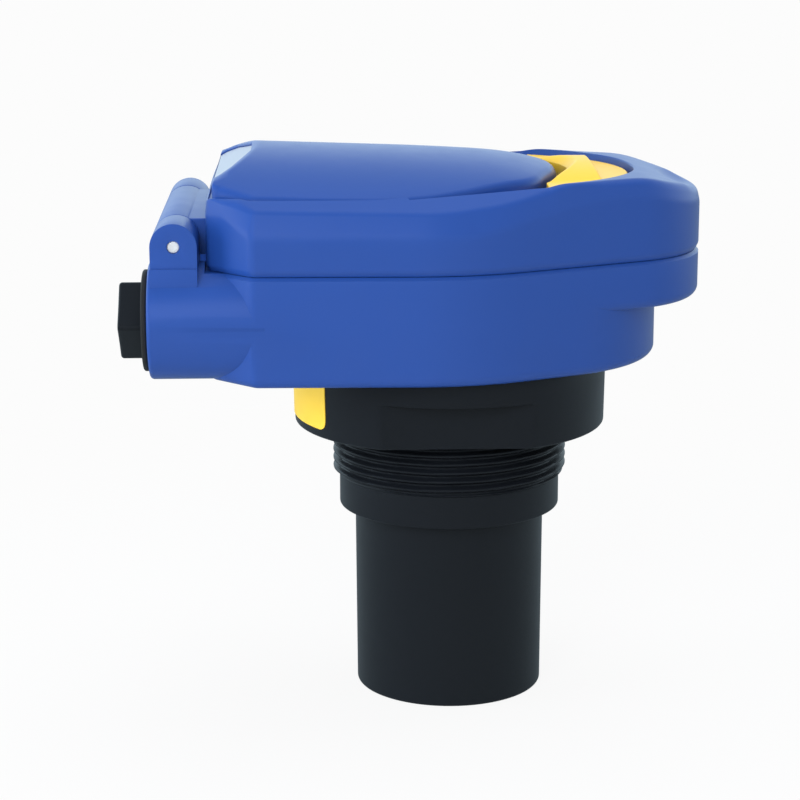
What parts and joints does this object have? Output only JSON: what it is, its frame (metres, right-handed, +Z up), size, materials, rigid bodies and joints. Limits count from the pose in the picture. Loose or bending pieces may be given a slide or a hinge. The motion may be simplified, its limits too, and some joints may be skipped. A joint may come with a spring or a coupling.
{
  "type": "ultrasonic level transmitter",
  "caption": "Ultrasonic level transmitter with a threaded sensor tube, a flip-lid housing with a sliding latch, conduit entries, display and push keys.",
  "frame": {"origin": "centre of the sensing face at the foot of the sensor tube", "axes": "+Z up the sensor axis, +X towards the latch end of the lid, hinge at -X"},
  "size_m": [0.1452, 0.0926, 0.1425],
  "materials": {
    "blue_housing": "satin moulded, fine texture",
    "black_body": "satin moulded",
    "yellow_latch": "satin moulded",
    "latch_inner": "moulded",
    "pin_steel": "ground",
    "screw_steel": "zinc plated",
    "ground_green": "lacquered screw head",
    "seal_rubber": "matt",
    "label_yellow": "semi-gloss print stock",
    "plate_silver": "satin anodised",
    "panel_grey": "satin moulded",
    "window_clear": "clear",
    "display_grey": "display with bezel",
    "key_dark": "matt",
    "switch_black": "moulded",
    "board_green": "solder mask",
    "connector_cream": "moulded",
    "wire_red": "wire insulation",
    "disc_ceramic": "fired",
    "backing_grey": "filled resin",
    "terminal_green": "moulded",
    "capacitor_can": "bright can"
  },
  "bodies": {
    "housing": {"sensor_body": "black_body", "collar_oring": "seal_rubber", "lock_nut": "black_body", "piezo_disc": "disc_ceramic", "damping_sleeve": "seal_rubber", "transducer_backing": "backing_grey", "lead_connector": "connector_cream", "transducer_leads": "wire_red", "lower_housing": "blue_housing", "lid_gasket": "seal_rubber", "hinge_pin": "pin_steel", "plug_seal": "seal_rubber", "conduit_plug": "black_body", "collar_label": "label_yellow", "main_board": "board_green", "electronics_cover": "panel_grey", "display_window": "window_clear", "display_module": "display_grey", "key_switches": "switch_black", "cover_screws": "screw_steel", "board_screws": "screw_steel", "drive_transformer": "switch_black", "capacitors": "capacitor_can", "processor_chip": "switch_black", "terminal_block": "terminal_green", "terminal_screws": "screw_steel", "ground_screw": "ground_green"},
    "lid": {"lid": "blue_housing", "nameplate": "plate_silver"},
    "latch": {"latch_plate": "yellow_latch", "latch_slider": "latch_inner", "latch_screws": "screw_steel"},
    "key_up_body": {"key_up": "key_dark"},
    "key_down_body": {"key_down": "key_dark"},
    "key_set_body": {"key_set": "key_dark"},
    "key_back_body": {"key_back": "key_dark"}
  },
  "joints": [
    {"name": "lid_hinge", "type": "hinge", "parent": "housing", "child": "lid", "pos_m": [-0.0679, 0, 0.1227], "axis": [0, -1, 0], "range_deg": [0, 115]},
    {"name": "latch_slide", "type": "slide", "parent": "lid", "child": "latch", "axis": [-1, 0, 0], "range_m": [0, 0.0022]},
    {"name": "key_up_press", "type": "slide", "parent": "housing", "child": "key_up_body", "axis": [0, 0, -1], "range_m": [0, 0.001], "stiffness_N_per_m": 300, "springref_m": -0.0005},
    {"name": "key_down_press", "type": "slide", "parent": "housing", "child": "key_down_body", "axis": [0, 0, -1], "range_m": [0, 0.001], "stiffness_N_per_m": 300, "springref_m": -0.0005},
    {"name": "key_set_press", "type": "slide", "parent": "housing", "child": "key_set_body", "axis": [0, 0, -1], "range_m": [0, 0.001], "stiffness_N_per_m": 300, "springref_m": -0.0005},
    {"name": "key_back_press", "type": "slide", "parent": "housing", "child": "key_back_body", "axis": [0, 0, -1], "range_m": [0, 0.001], "stiffness_N_per_m": 300, "springref_m": -0.0005}
  ]
}
